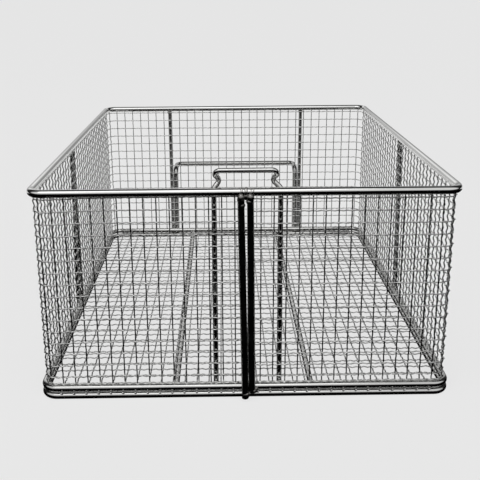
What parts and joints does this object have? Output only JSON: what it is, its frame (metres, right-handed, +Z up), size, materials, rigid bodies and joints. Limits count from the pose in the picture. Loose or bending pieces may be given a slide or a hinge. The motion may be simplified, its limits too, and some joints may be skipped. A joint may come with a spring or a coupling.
{
  "type": "deep fryer basket",
  "caption": "Rectangular open basket of woven steel wire mesh on welded round rods, with a wire handle catch at the front and a rod hook behind.",
  "frame": {"origin": "on the surface the basket stands on, under the middle of the top rim", "axes": "+Z up through the open top, +Y from the front wall with the handle catch to the rear wall with the hook, +X to the right as seen from the front"},
  "size_m": [0.34, 0.4036, 0.1894],
  "materials": {
    "rim_rod": "polished",
    "base_rod": "polished",
    "upright_rod": "polished",
    "floor_rod": "polished",
    "bent_rod": "polished",
    "mesh_wire": "polished"
  },
  "bodies": {
    "root": {"corner_upright_wires": "mesh_wire", "floor_cross_wires": "mesh_wire", "floor_edge_wires": "mesh_wire", "floor_long_wires": "mesh_wire", "floor_rod_left": "floor_rod", "floor_rod_right": "floor_rod", "front_upright_left": "upright_rod", "front_upright_right": "upright_rod", "front_wall_upright_wires": "mesh_wire", "handle_catch": "bent_rod", "left_wall_upright_wires": "mesh_wire", "lower_base_ring": "base_rod", "rear_hook": "bent_rod", "rear_upright_left": "upright_rod", "rear_upright_right": "upright_rod", "rear_wall_upright_wires": "mesh_wire", "right_wall_upright_wires": "mesh_wire", "side_upright_left": "upright_rod", "side_upright_right": "upright_rod", "top_rim": "rim_rod", "upper_base_ring": "base_rod", "wall_foot_wire": "mesh_wire", "wall_row_wires": "mesh_wire"}
  },
  "joints": []
}
